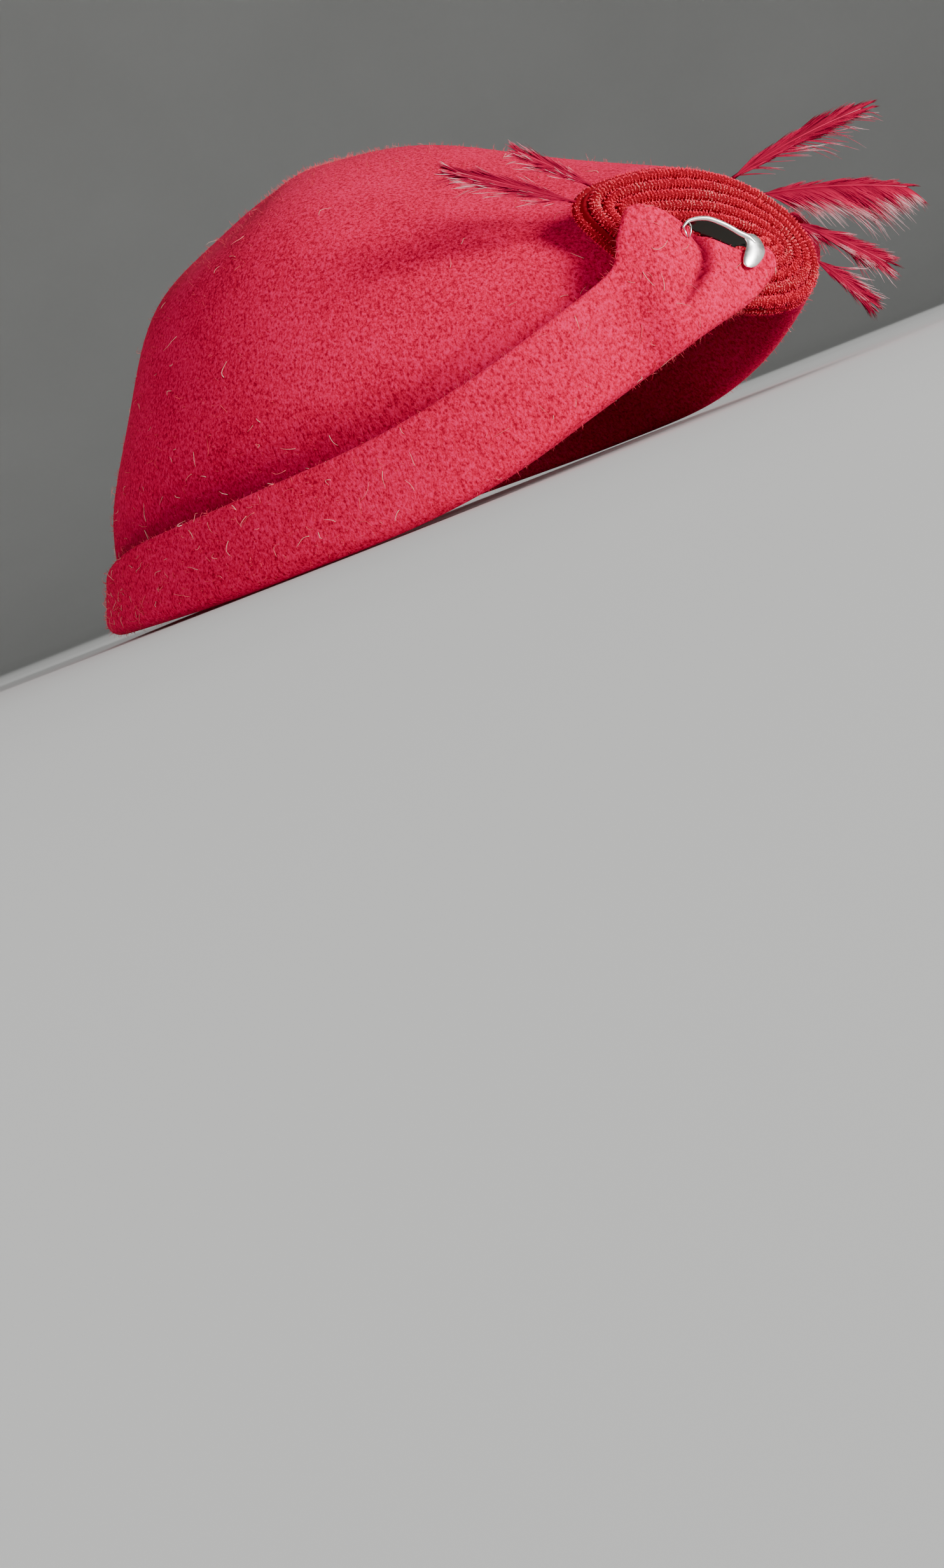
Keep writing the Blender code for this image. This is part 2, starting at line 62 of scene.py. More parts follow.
away = Vector((
    math.sin(azimuth) * math.cos(elevation),
    -math.cos(azimuth) * math.cos(elevation),
    math.sin(elevation),
))
level = Vector((math.cos(azimuth), math.sin(azimuth), 0.0))
upright = away.cross(level)
picture_right = level * math.cos(roll) - upright * math.sin(roll)
picture_up = level * math.sin(roll) + upright * math.cos(roll)
facing = Matrix((picture_right, picture_up, away)).transposed()
sight = Vector((
    (look_at_across - picture_wide / 2) / focal_length_in_pixels,
    (picture_tall / 2 - look_at_down) / focal_length_in_pixels,
    -1.0,
)).normalized()
facing = facing @ sight.rotation_difference(Vector((0.0, 0.0, -1.0))).to_matrix()

bpy.ops.object.camera_add(location=look_at + away * look_from)
camera = bpy.context.object
camera.rotation_euler = facing.to_euler()
camera.data.lens = focal_length_in_pixels / picture_tall * sensor_wide
camera.data.sensor_width = sensor_wide
camera.data.clip_start = 0.005
scene.camera = camera


# Lights. One large soft light stands above and to the picture's right, a weaker one fills from the
# left and a third stands behind. The room adds an even, faint light of its own.
def softbox(name, across, up, near, distance, size, power):
    """A square soft light that looks at the hat from a direction given as the picture shows it."""
    way = (picture_right * across + picture_up * up + away * near).normalized()
    place = look_at + way * distance
    bpy.ops.object.light_add(type="AREA", location=place)
    lamp = bpy.context.object
    lamp.name = name
    lamp.data.shape = "SQUARE"
    lamp.data.size = size
    lamp.data.energy = power
    lamp.rotation_euler = (place - look_at).to_track_quat("Z", "Y").to_euler()


softbox("key_light", 0.75, 0.60, 0.75, 1.5, 0.5, 35.0)
softbox("fill_light", -0.8, 0.10, 0.95, 1.8, 1.2, 14.0)
softbox("back_light", 0.1, 0.9, -0.9, 1.8, 1.2, 7.0)

if scene.world is None:
    scene.world = bpy.data.worlds.new("room")
scene.world.use_nodes = True
room = scene.world.node_tree.nodes["Background"]
room.inputs["Color"].default_value = (0.80, 0.82, 0.82, 1.0)
room.inputs["Strength"].default_value = 0.19


# Floor. A plain pale board that curves up far away into a plain backdrop, painted matt.
class Socket:
    """One output of a material's nodes. Plain arithmetic on it adds Math nodes."""

    def __init__(self, tree, output):
        self.tree = tree
        self.output = output

    def node(self, kind, settings, inputs, give=0):
        """Adds a node, sets it, feeds its inputs with values or sockets and gives one output."""
        node = self.tree.nodes.new(kind)
        for name, value in settings.items():
            if name == "stops":
                ramp = node.color_ramp
                while len(ramp.elements) < len(value):
                    ramp.elements.new(0.5)
                for element, (at, colour) in zip(ramp.elements, value):
                    element.position = at
                    element.color = (*colour, 1.0)
            else:
                setattr(node, name, value)
        for name, value in inputs.items():
            self.feed(node.inputs[name], value)
        return Socket(self.tree, node.outputs[give])

    def feed(self, entry, value):
        """Sets an input to a value, or links a socket to it."""
        if isinstance(value, Socket):
            self.tree.links.new(value.output, entry)
        else:
            entry.default_value = value

    def maths(self, operation, first, second):
        return self.node("ShaderNodeMath", {"operation": operation}, {0: first, 1: second})

    def __add__(self, other):
        return self.maths("ADD", self, other)

    def __mul__(self, other):
        return self.maths("MULTIPLY", self, other)

    def __pow__(self, other):
        return self.maths("POWER", self, other)

    __radd__ = __add__
    __rmul__ = __mul__


def new_finish(name, **settings):
    """A material with its shader's constants, and where its patterns start: the object's place."""
    material = bpy.data.materials.new(name)
    material.use_nodes = True
    tree = material.node_tree
    shader = tree.nodes["Principled BSDF"]
    for entry, value in settings.items():
        shader.inputs[entry.replace("_", " ")].default_value = value
    place = Socket(tree, tree.nodes.new("ShaderNodeTexCoord").outputs["Object"])
    return material, shader, place


floor_paint, shader, place = new_finish("matt_pale_board", Roughness=0.9, Specular_IOR_Level=0.2)
cloudy = place.node("ShaderNodeTexNoise", {}, {"Vector": place, "Scale": 3.0, "Detail": 4.0})
tone = place.node("ShaderNodeValToRGB", {"stops": (
    (0.3, (0.68, 0.68, 0.665)),
    (0.7, (0.72, 0.72, 0.705)),
)}, {"Fac": cloudy})
place.feed(shader.inputs["Base Color"], tone)

floor_radius = 4.0
floor_below = 0.0003
cove_radius = 1.2
cove_steps = 8
backdrop_tall = 2.0

bpy.ops.mesh.primitive_circle_add(
    vertices=96, radius=floor_radius, fill_type="NGON", location=(0, 0, -floor_below))
floor = bpy.context.object
floor.name = "floor"
bpy.ops.object.mode_set(mode="EDIT")
bpy.ops.mesh.select_all(action="SELECT")
reach = floor_radius
rise = 0.0
for step in range(1, cove_steps + 1):
    turn = math.pi / 2 * step / cove_steps
    new_reach = floor_radius + cove_radius * math.sin(turn)
    new_rise = cove_radius * (1 - math.cos(turn))
    bpy.ops.mesh.extrude_edges_move(TRANSFORM_OT_translate={"value": (0, 0, new_rise - rise)})
    share = new_reach / reach
    bpy.ops.transform.resize(value=(share, share, 1), center_override=(0, 0, new_rise))
    reach = new_reach
    rise = new_rise
bpy.ops.mesh.extrude_edges_move(TRANSFORM_OT_translate={"value": (0, 0, backdrop_tall)})
bpy.ops.object.mode_set(mode="OBJECT")
bpy.ops.object.shade_smooth()
bpy.ops.object.transform_apply(location=True, rotation=True, scale=True)
floor.data.materials.append(floor_paint)


# Felt. The hat itself is one piece of brushed fur felt, wetted and pulled over an oval block, with
# its edge turned up all round. The turned edge ends in a free tab, pinched into two lobes.
felt_red = (0.66, 0.0016, 0.050)
felt_light = (0.84, 0.012, 0.110)
felt_dark = (0.33, 0.0005, 0.020)
# The last red is the colour of the painted shade that the felt is mixed towards where it is sheltered.
felt_painted_shade = (0.10, 0.0003, 0.006)
weld = 0.00001  # points of a solid that lie closer than this are one

felt_finish, shader, place = new_finish(
    "brushed_felt", Roughness=0.95, Specular_IOR_Level=0.05,
    Sheen_Weight=0.05, Sheen_Roughness=0.40, Sheen_Tint=(1.0, 0.25, 0.38, 1.0),
)
brushed = place.node("ShaderNodeMapping", {"vector_type": "POINT"}, {
    "Vector": place,
    "Scale": (1.0, 1.0, 0.75),
})
nap = place.node("ShaderNodeTexNoise", {}, {
    "Vector": brushed, "Scale": 2600.0, "Detail": 3.0, "Roughness": 0.62,
})
tufts = place.node("ShaderNodeTexNoise", {}, {
    "Vector": brushed, "Scale": 1350.0, "Detail": 2.0, "Roughness": 0.55,
})
cloud = place.node("ShaderNodeTexNoise", {}, {
    "Vector": place, "Scale": 45.0, "Detail": 3.0, "Roughness": 0.5,
})
fleck = nap * 0.40 + tufts * 0.48 + cloud * 0.12
felt_colour = place.node("ShaderNodeValToRGB", {"stops": (
    (0.39, felt_dark),
    (0.49, felt_red),
    (0.60, felt_light),
)}, {"Fac": fleck})
# Painted shade: where the open_air share is low, the felt's colour is mixed towards the darkest red.
open_air = place.node("ShaderNodeAttribute", {"attribute_name": "open_air"}, {}, 2)
felt_with_painted_shade = place.node("ShaderNodeMix", {"data_type": "RGBA"}, {
    "Factor": open_air, 6: (*felt_painted_shade, 1.0), 7: felt_colour,
}, 2)
place.feed(shader.inputs["Base Color"], felt_with_painted_shade)
roughened = place.node("ShaderNodeBump", {}, {
    "Strength": 0.55, "Distance": 0.0004, "Height": nap * 0.6 + tufts * 0.8,
})
place.feed(shader.inputs["Normal"], roughened)

felt = bpy.data.objects.new("felt_hat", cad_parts["felt_body"].data.copy())
scene.collection.objects.link(felt)
felt.select_set(True)
bpy.context.view_layer.objects.active = felt
bpy.ops.object.mode_set(mode="EDIT")
bpy.ops.mesh.select_all(action="SELECT")
bpy.ops.mesh.remove_doubles(threshold=weld)
bpy.ops.mesh.tris_convert_to_quads(
    face_threshold=math.radians(60), shape_threshold=math.radians(70))
bpy.ops.object.mode_set(mode="OBJECT")
smoothing = felt.modifiers.new("smoothing", "SUBSURF")
smoothing.levels = 2
smoothing.render_levels = 2
bpy.ops.object.modifier_apply(modifier=smoothing.name)
bpy.ops.object.shade_smooth()
felt.data.materials.clear()
felt.data.materials.append(felt_finish)

felt_points = np.empty(len(felt.data.vertices) * 3)
felt.data.vertices.foreach_get("co", felt_points)
felt_points = felt_points.reshape(-1, 3)
felt_normals = np.empty(len(felt.data.vertices) * 3)
felt.data.vertices.foreach_get("normal", felt_normals)
felt_normals = felt_normals.reshape(-1, 3)

# Where the cockade sits: its middle, and the ways out of it, along it and up it.
pad_middle = Vector((-0.024341, -0.095813, 0.038217))
pad_turn = math.radians(-24.0)
pad_tilt = math.radians(12.0)
pad_roll = math.radians(-27.0)
pad_out = Vector((
    math.sin(pad_turn) * math.cos(pad_tilt),
    -math.cos(pad_turn) * math.cos(pad_tilt),
    math.sin(pad_tilt),
))
pad_level = Vector((math.cos(pad_turn), math.sin(pad_turn), 0.0))
pad_rise = pad_out.cross(pad_level)
pad_long = pad_level * math.cos(pad_roll) + pad_rise * math.sin(pad_roll)
pad_short = pad_rise * math.cos(pad_roll) - pad_level * math.sin(pad_roll)

# The pinch between the tab's two lobes is a sharp fold, which fades towards its lower end.
pinch = np.array((
    # along and up the cockade, in mm
    (-8.4, -5.2),
    (-7.4, -7.4),
    (-6.8, -10.2),
    (-7.3, -13.5),
    (-9.3, -17.4),
    (-12.0, -21.7),
)) / 1000
crease_deep = 0.0021
crease_wide = 0.0016
crease_shade_wide = 0.0017
crease_shade = 0.97
tab_lowest = 0.0005   # the tab's felt lies between these heights over the cockade
tab_highest = 0.012
far_off = 1.0

local = felt_points - np.array(pad_middle)
local_long = local @ np.array(pad_long)
local_short = local @ np.array(pad_short)
local_out = local @ np.array(pad_out)
crease_away = np.full(len(felt_points), far_off)
for step in np.linspace(0, len(pinch) - 1, 60):
    i = min(int(step), len(pinch) - 2)
    spot = pinch[i] + (pinch[i + 1] - pinch[i]) * (step - i)
    faint = crease_wide * (step / (len(pinch) - 1)) ** 2
    from_spot = np.hypot(local_long - spot[0], local_short - spot[1]) + faint
    crease_away = np.minimum(crease_away, from_spot)
crease_away[(local_out < tab_lowest) | (local_out > tab_highest)] = far_off
felt_points -= np.outer(crease_deep * np.exp(-(crease_away / crease_wide) ** 2), pad_out)
felt.data.vertices.foreach_set("co", felt_points.reshape(-1))
felt_tree = BVHTree.FromPolygons(
    [tuple(p) for p in felt_points], [tuple(f.vertices) for f in felt.data.polygons])

# Painted shade: the felt's colour is darkened in the groove behind the brim, in the folds and along
# the pinch, by rays cast over the felt and by the distance to the pinch.
shelter_reach = 0.014
groove_reach = 0.020
groove_dips = (40, 55, 68, 80)
groove_shade = 1.25
darkest_at = 0.25      # the felt is darkest up to this share of open air
darkest_to_clear = 0.60
rays = np.random.default_rng(2).normal(size=(12, 3))
rays /= np.linalg.norm(rays, axis=1, keepdims=True)
free = np.zeros(len(felt_points))
starts = felt_points + felt_normals * 0.0003
for ray in rays:
    ways = felt_normals + ray[None] * 0.98
    for i, (start, way) in enumerate(zip(starts.tolist(), ways.tolist())):
        far = felt_tree.ray_cast(start, way, shelter_reach)[3]
        free[i] += (1.0 if far is None else far / shelter_reach * 0.6) / len(rays)
around = felt_points[:, :2] / np.linalg.norm(felt_points[:, :2], axis=1, keepdims=True)
groove = np.zeros(len(felt_points))
for dip in groove_dips:
    ways = np.column_stack([
        around * math.cos(math.radians(dip)),
        np.full(len(around), -math.sin(math.radians(dip))),
    ])
    facing_out = (felt_normals * ways).sum(axis=1) > 0.02
    for i in np.flatnonzero(facing_out):
        far = felt_tree.ray_cast(starts[i].tolist(), ways[i].tolist(), groove_reach)[3]
        if far is not None:
            groove[i] += (1 - far / groove_reach) / len(groove_dips)
# Painted shade: the share of open air, lowered in the groove and along the pinch, sets how dark the
# felt is painted.
free = np.clip((free - darkest_at) / darkest_to_clear, 0, 1)
free *= np.clip(1 - groove_shade * groove, 0, 1)
free *= 1 - crease_shade * np.exp(-(crease_away / crease_shade_wide) ** 2)
shade = felt.data.attributes.new("open_air", "FLOAT", "POINT")
shade.data.foreach_set("value", free.astype(np.float32))
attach(felt, "root")
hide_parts("felt_body")


# Loose fibres. Pale curled hairs of the fur lie on the felt, most of them low on the crown and on
# the brim at the wearer's right.
def strands(name, routes, half_widths, flatness, lying, tones, material):
    """Many fine closed three-sided hairs in one mesh, each along its own row of points."""
    count, steps, _ = routes.shape
    ahead = np.gradient(routes, axis=1)
    ahead /= np.linalg.norm(ahead, axis=2, keepdims=True) + 1e-12
    side = np.cross(lying, ahead)
    side /= np.linalg.norm(side, axis=2, keepdims=True) + 1e-12
    over = np.cross(ahead, side)
    corners = []
    for turn in (math.pi / 2, math.pi * 7 / 6, math.pi * 11 / 6):
        reach = side * math.cos(turn) + over * (math.sin(turn) * flatness)
        corners.append(routes + reach * half_widths[:, :, None])
    points = np.stack(corners, axis=2).reshape(-1, 3)
    first = (np.arange(count) * steps * 3)[:, None]
    along = np.arange(steps - 1) * 3
    faces = []
    for corner in range(3):
        following = (corner + 1) % 3
        walls = np.stack([
            along + corner, along + following, along + 3 + following, along + 3 + corner,
        ], 1)
        faces.append((first[:, :, None] + walls[None]).reshape(-1, 4))
    root = first + np.array([0, 2, 1])
    tip = first + (steps - 1) * 3 + np.array([0, 1, 2])
    mesh = bpy.data.meshes.new(name)
    walls = np.concatenate(faces).tolist()
    mesh.from_pydata(points.tolist(), [], walls + root.tolist() + tip.tolist())
    corner_points = np.empty(len(mesh.loops), dtype=np.int32)
    mesh.loops.foreach_get("vertex_index", corner_points)
    every = (count, steps, 3)
    share = np.broadcast_to(np.linspace(0, 1, steps)[None, :, None], every).reshape(-1)
    tone = np.broadcast_to(tones[:, None, None], every).reshape(-1)
    chart = np.stack([share[corner_points], tone[corner_points]], axis=1)
    mesh.uv_layers.new(name="UVMap").data.foreach_set("uv", chart.reshape(-1).astype(np.float32))
    mesh.shade_smooth()
    mesh.materials.append(material)
    piece = bpy.data.objects.new(name, mesh)
    scene.collection.objects.link(piece)
    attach(piece, "root")
    return piece


def curling(count, steps, seed, start, heading, length, curl):
    """Rows of points for hairs that start along a heading and curl as they go."""
    chance = np.random.default_rng(seed)
    routes = np.empty((count, steps, 3))
    routes[:, 0] = start
    way = heading / np.linalg.norm(heading, axis=1, keepdims=True)
    bend = chance.normal(0, curl, (count, 3))
    for step in range(1, steps):
        way = way + bend / steps + chance.normal(0, curl * 0.35, (count, 3)) / steps
        way /= np.linalg.norm(way, axis=1, keepdims=True)
        routes[:, step] = routes[:, step - 1] + way * length[:, None] / (steps - 1)
    return routes


lint_finish, shader, place = new_finish("pale_fur_fibre", Roughness=0.6, Specular_IOR_Level=0.3)
chart = Socket(place.tree, place.tree.nodes.new("ShaderNodeUVMap").outputs["UV"])
tone = chart.node("ShaderNodeSeparateXYZ", {}, {"Vector": chart}, 1)
lint_colour = place.node("ShaderNodeValToRGB", {"stops": (
    (0.0, (0.80, 0.010, 0.060)),
    (0.4, (0.88, 0.12, 0.15)),
    (1.0, (0.92, 0.60, 0.48)),
)}, {"Fac": tone})
place.feed(shader.inputs["Base Color"], lint_colour)

lint_count = 560
lint_steps = 7
lint_shortest = 0.0012
lint_longest = 0.0055
lint_lowest = 0.0001   # how far a loose fibre stays from the felt
lint_highest = 0.0011
nap_count = 21000
nap_shortest = 0.0004
nap_longest = 0.0010
nap_lowest = 0.0004    # how far the nap stays from the floor

chance = np.random.default_rng(11)
outside = (felt_points[:, :2] * felt_normals[:, :2]).sum(axis=1) > -0.02
right_side = np.clip((-felt_points[:, 0] + 0.02) / 0.09, 0, 1)
low = np.clip((0.075 - felt_points[:, 2]) / 0.05, 0, 1)
back = np.clip((felt_points[:, 1] + 0.06) / 0.12, 0, 1)
wanted = outside * (felt_points[:, 2] > 0.004) * (0.08 + right_side * (0.12 + low) * (0.15 + back))
chosen = chance.choice(len(felt_points), lint_count, p=wanted / wanted.sum())
resting = felt_normals[chosen]
heading = np.cross(resting, chance.normal(size=(lint_count, 3))) + resting * 0.3
lint_length = chance.uniform(lint_shortest, lint_longest, lint_count)
lint_routes = curling(
    lint_count, lint_steps, 5, felt_points[chosen] + resting * lint_lowest, heading, lint_length, 1.5)
for route in lint_routes:
    for step in range(1, lint_steps):
        near, normal, _, _ = felt_tree.find_nearest(Vector(route[step]))
        height = (Vector(route[step]) - near).dot(normal)
        route[step] = near + normal * min(max(height, lint_lowest), lint_highest)
lint_taper = np.linspace(0.00009, 0.00003, lint_steps)
lint_widths = lint_taper[None] * chance.uniform(0.6, 1.2, (lint_count, 1))
lint = strands("loose_fibres", lint_routes, lint_widths, 1.0,
               np.broadcast_to(resting[:, None], lint_routes.shape),
               chance.uniform(0, 1, lint_count), lint_finish)

# The nap itself is short hairs that stand off the felt and soften its edges.
chosen = chance.integers(0, len(felt_points), nap_count)
resting = felt_normals[chosen]
aside = np.cross(resting, chance.normal(size=(nap_count, 3)))
nap_foot = felt_points[chosen] + aside * 0.0004 - resting * 0.0001
heading = resting + chance.normal(0, 0.45, (nap_count, 3))
nap_tip = nap_foot + heading * chance.uniform(nap_shortest, nap_longest, (nap_count, 1))
standing = (nap_tip[:, 2] > nap_lowest) & (nap_foot[:, 2] > nap_lowest)
nap_routes = np.stack([nap_foot, nap_tip], axis=1)[standing]
nap_widths = np.tile((0.00004, 0.00002), (len(nap_routes), 1))
nap_hairs = strands("felt_nap", nap_routes, nap_widths, 1.0,
                    np.broadcast_to(aside[standing][:, None], nap_routes.shape),
                    chance.uniform(0.0, 0.35, len(nap_routes)), lint_finish)


# Cockade. Velvet cord is wound from the rim inwards in flat rows and sewn down on a stiff oval base,
# which is domed to the crown. Its upper end, towards the hat's back, is bent up a little, and short
# pile stands all round the cord in fine ribs.
pad_half_long = 0.0322
pad_half_short = 0.0180
dome_long = 0.0070     # how far the dome falls at the oval's ends and at its sides
dome_short = 0.0025
bend_from = 0.3        # the bend starts at this share of the way to the end
bend_up = 0.0045
bend_narrower = 0.35
cord_half = 0.00150
rib = 0.00085
core_step = 0.0006
rows_from = -1.9       # where the winding starts, under the tab, in radians round the oval
rows_turns = 5.4
edge_from = -1.7
edge_turns = 1.02
edge_in = 0.0013       # the edge turn's middle lies this far inside the oval and below its top
edge_down = 0.0039
base_thinner = 0.0014


def bent_up(x, y):
    """How far up a place on the cockade lies once the end towards the hat's back is bent up."""
    end = np.clip((-x / pad_half_long - bend_from) / (1 - bend_from), 0, 1)
    end = end * end * (3 - 2 * end)
    return y * (1 - bend_narrower * end) + bend_up * end


def on_pad(x, y, out):
    """Places in the hat for places on the domed cockade: along it, up it and out of it."""
    dome = -dome_long * (x / pad_half_long) ** 2 - dome_short * (y / pad_half_short) ** 2 + out
    flat = np.array(pad_middle) + np.outer(x, pad_long) + np.outer(bent_up(x, y), pad_short)
    return flat + np.outer(dome, pad_out)


def even_steps(route, step):
    """The same route with its points an even distance apart, and how far along it each is."""
    passed = np.concatenate([[0], np.cumsum(np.linalg.norm(np.diff(route, axis=0), axis=1))])
    at = np.linspace(0, passed[-1], int(passed[-1] / step) + 1)
    return np.stack([np.interp(at, passed, route[:, i]) for i in range(3)], axis=1), at


def cord_sides(route):
    """The way ahead along a cord, and the ways sideways and up from it."""
    ahead = np.gradient(route, axis=0)
    ahead /= np.linalg.norm(ahead, axis=1, keepdims=True)
    side = np.cross(np.array(pad_out), ahead)
    side /= np.linalg.norm(side, axis=1, keepdims=True)
    return ahead, side, np.cross(ahead, side)


def core(name, route, half_wide, half_high, material):
    """The inside of a cord along a route, with its ends closed and rounded."""
    sides = 10
    route, at = even_steps(route, core_step)
    ahead, side, up = cord_sides(route)
    end = np.sqrt(np.clip(np.minimum(at, at[-1] - at) / half_wide, 0.0025, 1))[:, None]
    turns = np.arange(sides) * 2 * math.pi / sides
    points = route[:, None] + side[:, None] * (np.cos(turns)[None] * half_wide * end)[:, :, None]
    points = points + up[:, None] * (np.sin(turns)[None] * half_high * end)[:, :, None]
    i = np.arange(len(route) - 1)[:, None] * sides
    j = np.arange(sides)[None]
    k = (j + 1) % sides
    walls = np.stack([i + j, i + k, i + sides + k, i + sides + j], axis=2).reshape(-1, 4)
    root = [list(range(sides))[::-1]]
    tip = [[(len(route) - 1) * sides + c for c in range(sides)]]
    mesh = bpy.data.meshes.new(name)
    mesh.from_pydata(points.reshape(-1, 3).tolist(), [], walls.tolist() + root + tip)
    mesh.shade_smooth()
    mesh.materials.append(material)
    piece = bpy.data.objects.new(name, mesh)
    scene.collection.objects.link(piece)
    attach(piece, "root")
    return piece


def pile(name, route, reach, per_rib, lowest, highest, seed, material):
    """The short hairs of a cord's pile, in a fan at each rib, so that fine dark seams part them."""
    chance = np.random.default_rng(seed)
    route, at = even_steps(route, rib)
    ahead, side, up = cord_sides(route)
    rows = np.repeat(np.arange(1, len(route) - 1), per_rib)
    count = len(rows)
    lean = chance.uniform(lowest, highest, count)
    out_way = side[rows] * np.cos(lean)[:, None] + up[rows] * np.sin(lean)[:, None]
    # Painted highlight: pale patches along the cord, for the hairs that point up out of the cockade.
    highlight_patches = (0.5 + 0.5 * np.sin(at[rows] * 190 + 1.5 * np.sin(at[rows] * 71 + seed))) ** 2
    rib_tone = chance.normal(0, 0.09, len(route))[rows]
    rib_tall = chance.normal(0, 0.05, len(route))[rows]
    slant = 0.20 * np.cos(lean) + chance.normal(0, 0.07, count)
    foot = route[rows] + out_way * reach * 0.62
    foot = foot + ahead[rows] * (chance.normal(0, rib * 0.11, count))[:, None]
    tall = reach * (0.38 + rib_tall + chance.normal(0, 0.03, count))
    tip = foot + (out_way + ahead[rows] * slant[:, None]) * tall[:, None]
    routes = np.stack([foot, tip], axis=1)
    widths = np.outer(chance.uniform(0.8, 1.2, count), (0.00013, 0.00009))
    lying = np.cross(out_way, ahead[rows])
    # The tone is painted paler on hairs that point up, in those patches: a painted highlight. The rest
    # varies at random.
    crest = np.clip(np.sin(lean), 0, 1)
    tone = np.clip(0.26 + 0.50 * crest * highlight_patches + rib_tone + chance.normal(0, 0.05, count), 0, 1)
    hairs = strands(name, routes, widths, 1.0,
                    np.broadcast_to(lying[:, None], routes.shape), tone, material)


core_finish, shader, place = new_finish("cord_core", Roughness=0.8, Specular_IOR_Level=0.1)
shader.inputs["Base Color"].default_value = (0.22, 0.0008, 0.008, 1.0)

pile_finish, shader, place = new_finish(
    "velvet_pile", Roughness=0.6, Specular_IOR_Level=0.15,
    Sheen_Weight=0.22, Sheen_Roughness=0.3, Sheen_Tint=(1.0, 0.22, 0.24, 1.0),
)
chart = Socket(place.tree, place.tree.nodes.new("ShaderNodeUVMap").outputs["UV"])
up_hair = chart.node("ShaderNodeSeparateXYZ", {}, {"Vector": chart}, 0)
tone = chart.node("ShaderNodeSeparateXYZ", {}, {"Vector": chart}, 1)
# The pile is painted darker towards each hair's root, painted shade deep in the pile, and paler with
# the tone; the last, pink stop is a painted highlight.
pile_colour = place.node("ShaderNodeValToRGB", {"stops": (
    (0.05, (0.72, 0.001, 0.030)),
    (0.34, (0.96, 0.004, 0.060)),
    (0.66, (1.00, 0.020, 0.085)),
    (0.98, (1.00, 0.26, 0.25)),
)}, {"Fac": up_hair * 0.42 + tone * 0.62})
place.feed(shader.inputs["Base Color"], pile_colour)

angle = np.linspace(rows_from, rows_from + 2 * math.pi * rows_turns, 1700)
inset = cord_half + 2 * cord_half * (angle - angle[0]) / (2 * math.pi)
winding = on_pad((pad_half_long - inset) * np.cos(angle), (pad_half_short - inset) * np.sin(angle),
                 -cord_half + 0.00015 * np.sin(angle * 3.1 + 0.7))
wound = core("cord_rows", winding, cord_half * 0.80, cord_half * 0.78, core_finish)
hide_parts("cord_cockade")
pile("cord_rows_pile", winding, cord_half, 24, -0.35, math.pi + 0.35, 3, pile_finish)

angle = np.linspace(edge_from, edge_from + 2 * math.pi * edge_turns, 500)
edging = on_pad((pad_half_long - edge_in) * np.cos(angle), (pad_half_short - edge_in) * np.sin(angle),
                np.full(len(angle), -edge_down) - 0.0001 * np.cos(angle * 2))
core("cord_edge_turn", edging, cord_half * 0.76, cord_half * 0.74, core_finish)
pile("cord_edge_pile", edging, cord_half * 0.95, 22, -math.pi, math.pi, 4, pile_finish)

base = bpy.data.objects.new("cockade_base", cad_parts["cord_cockade"].data.copy())
scene.collection.objects.link(base)
bpy.ops.object.select_all(action="DESELECT")
base.select_set(True)
bpy.context.view_layer.objects.active = base
bpy.ops.object.mode_set(mode="EDIT")
bpy.ops.mesh.select_all(action="SELECT")
bpy.ops.mesh.remove_doubles(threshold=weld)
bpy.ops.transform.shrink_fatten(value=-base_thinner)
bpy.ops.object.mode_set(mode="OBJECT")
for vertex in base.data.vertices:
    offset = vertex.co - pad_middle
    x, y = offset.dot(pad_long), offset.dot(pad_short)
    vertex.co += pad_short * (float(bent_up(x, y)) - y)
bpy.ops.object.shade_smooth()
base.data.materials.clear()
base.data.materials.append(core_finish)
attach(base, "root")


# Clip. A crescent of polished metal at the tab's upper edge: a bright rolled rim, a plate of the same
# metal, painted near-black as a painted reflection of a dark room, that runs from the rim towards the
# felt, a lobe over the tab's point and two fine prongs at the narrow end.
def smooth_through(values, at):
    """A smooth curve through evenly spaced values."""
    values = np.asarray(values, float)
    slopes = np.gradient(values, axis=0)
    i = np.clip(at.astype(int), 0, len(values) - 2)
    t = (at - i)[:, None]
    return ((1 + 2 * t) * (1 - t) ** 2 * values[i] + t * (1 - t) ** 2 * slopes[i]
            + t * t * (3 - 2 * t) * values[i + 1] + t * t * (t - 1) * slopes[i + 1])


def at_pad(places):
    """Places in the hat for rows of lengths in mm: along the cockade, up it and out of it."""
    along, up, out = np.hsplit(np.asarray(places, float) / 1000, 3)
    flat = np.array(pad_middle) + along * np.array(pad_long) + up * np.array(pad_short)
    return flat + out * np.array(pad_out)


def metal_sheet(name, first, second, bow, thickness, material):
    """A curved plate between two edges, bowed between them, with rounded edges."""
    steps, rows = len(first), 5
    bpy.ops.mesh.primitive_grid_add(x_subdivisions=steps - 1, y_subdivisions=rows - 1, size=1.0)
    plate = bpy.context.object
    plate.name = name
    for vertex in plate.data.vertices:
        i = int(round((vertex.co.x + 0.5) * (steps - 1)))
        share = vertex.co.y + 0.5
        swell = bow[i] * (1 - (2 * share - 1) ** 2)
        vertex.co = Vector(first[i] * (1 - share) + second[i] * share) + pad_out * swell
    plate.data.materials.append(material)
    wall = plate.modifiers.new("wall", "SOLIDIFY")
    wall.thickness = thickness
    wall.offset = 0.0
    bpy.ops.object.modifier_apply(modifier=wall.name)
    smoothing = plate.modifiers.new("smoothing", "SUBSURF")
    smoothing.levels = 2
    smoothing.render_levels = 2
    bpy.ops.object.modifier_apply(modifier=smoothing.name)
    bpy.ops.object.shade_smooth()
    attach(plate, "root")
    return plate


scuff_scale = 900.0

